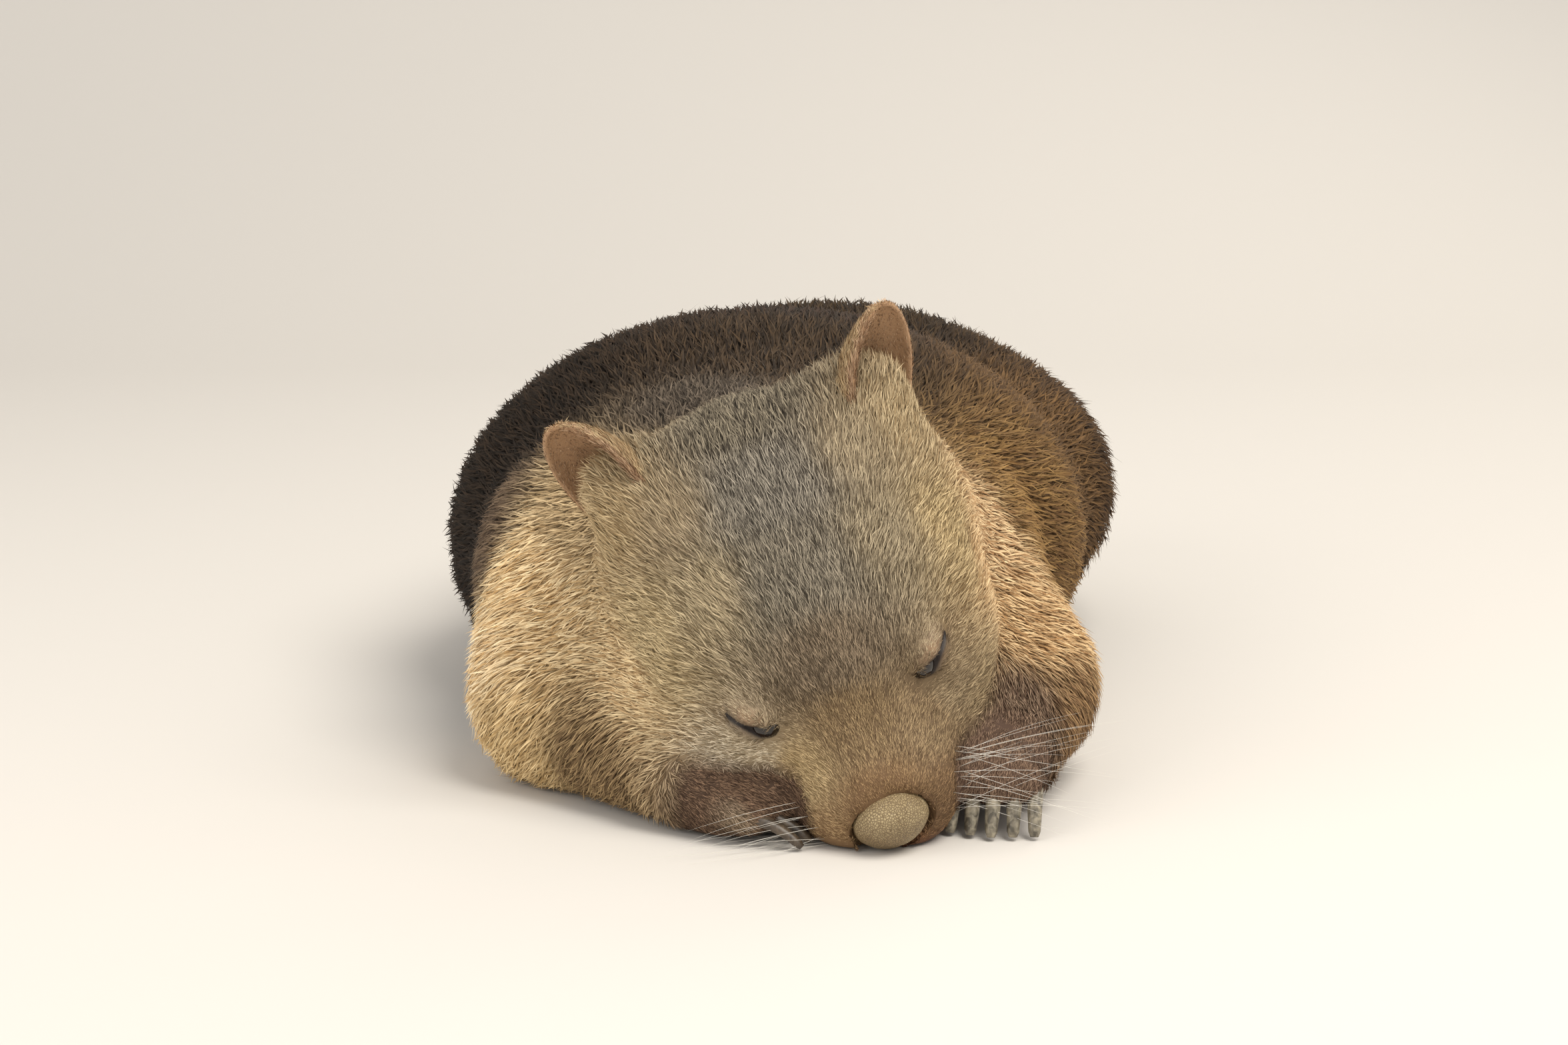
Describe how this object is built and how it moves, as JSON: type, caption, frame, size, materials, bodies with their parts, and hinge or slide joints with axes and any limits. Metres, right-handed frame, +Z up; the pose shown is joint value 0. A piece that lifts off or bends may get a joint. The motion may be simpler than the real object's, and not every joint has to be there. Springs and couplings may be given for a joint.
{
  "type": "common wombat figure, asleep",
  "caption": "Life-size common wombat lying asleep on its belly, head bowed and tilted with the nose on the floor and the forepaws tucked beside the muzzle.",
  "frame": {"origin": "centre of the bounding box, on the floor that the animal lies on", "axes": "+X to the animal's left side, +Y from its nose to its rump, +Z up"},
  "size_m": [0.3916, 0.6768, 0.2447],
  "materials": {
    "head_coat": "short grizzled grey-brown fur lying back from the nose",
    "shoulder_coat": "cream-tan fur, coarse and slightly fringed",
    "back_coat": "dark brown coarse fur lying back",
    "paw_coat": "very short dark purple-brown hair on bare skin",
    "ear_coat": "short tan hair over pinkish-brown skin",
    "nose_skin": "bare, finely granular grey-tan skin",
    "eye": "moist dark eye, nearly shut",
    "claw_horn": "dull grey horn"
  },
  "bodies": {
    "root": {"claw_fore_right_1": "claw_horn", "claw_fore_right_2": "claw_horn", "claw_fore_right_3": "claw_horn", "claw_fore_right_4": "claw_horn", "claw_fore_right_5": "claw_horn", "claw_fore_left_1": "claw_horn", "claw_fore_left_2": "claw_horn", "claw_fore_left_3": "claw_horn", "claw_fore_left_4": "claw_horn", "claw_fore_left_5": "claw_horn", "claw_hind_right_1": "claw_horn", "claw_hind_right_2": "claw_horn", "claw_hind_right_3": "claw_horn", "claw_hind_right_4": "claw_horn", "claw_hind_left_1": "claw_horn", "claw_hind_left_2": "claw_horn", "claw_hind_left_3": "claw_horn", "claw_hind_left_4": "claw_horn", "eye_right": "eye", "eye_left": "eye", "nose_pad": "nose_skin", "ear_right": "ear_coat", "ear_left": "ear_coat", "hand_right": "paw_coat", "hand_left": "paw_coat", "hind_foot_right": "paw_coat", "hind_foot_left": "paw_coat", "forearm_right": "shoulder_coat", "forearm_left": "shoulder_coat", "jaw": "head_coat", "head": "head_coat", "upper_arm_right": "shoulder_coat", "upper_arm_left": "shoulder_coat", "thigh_right": "back_coat", "thigh_left": "back_coat", "tail": "back_coat", "neck": "shoulder_coat", "throat": "back_coat", "chest": "back_coat", "belly": "back_coat", "rump": "back_coat"}
  },
  "joints": []
}
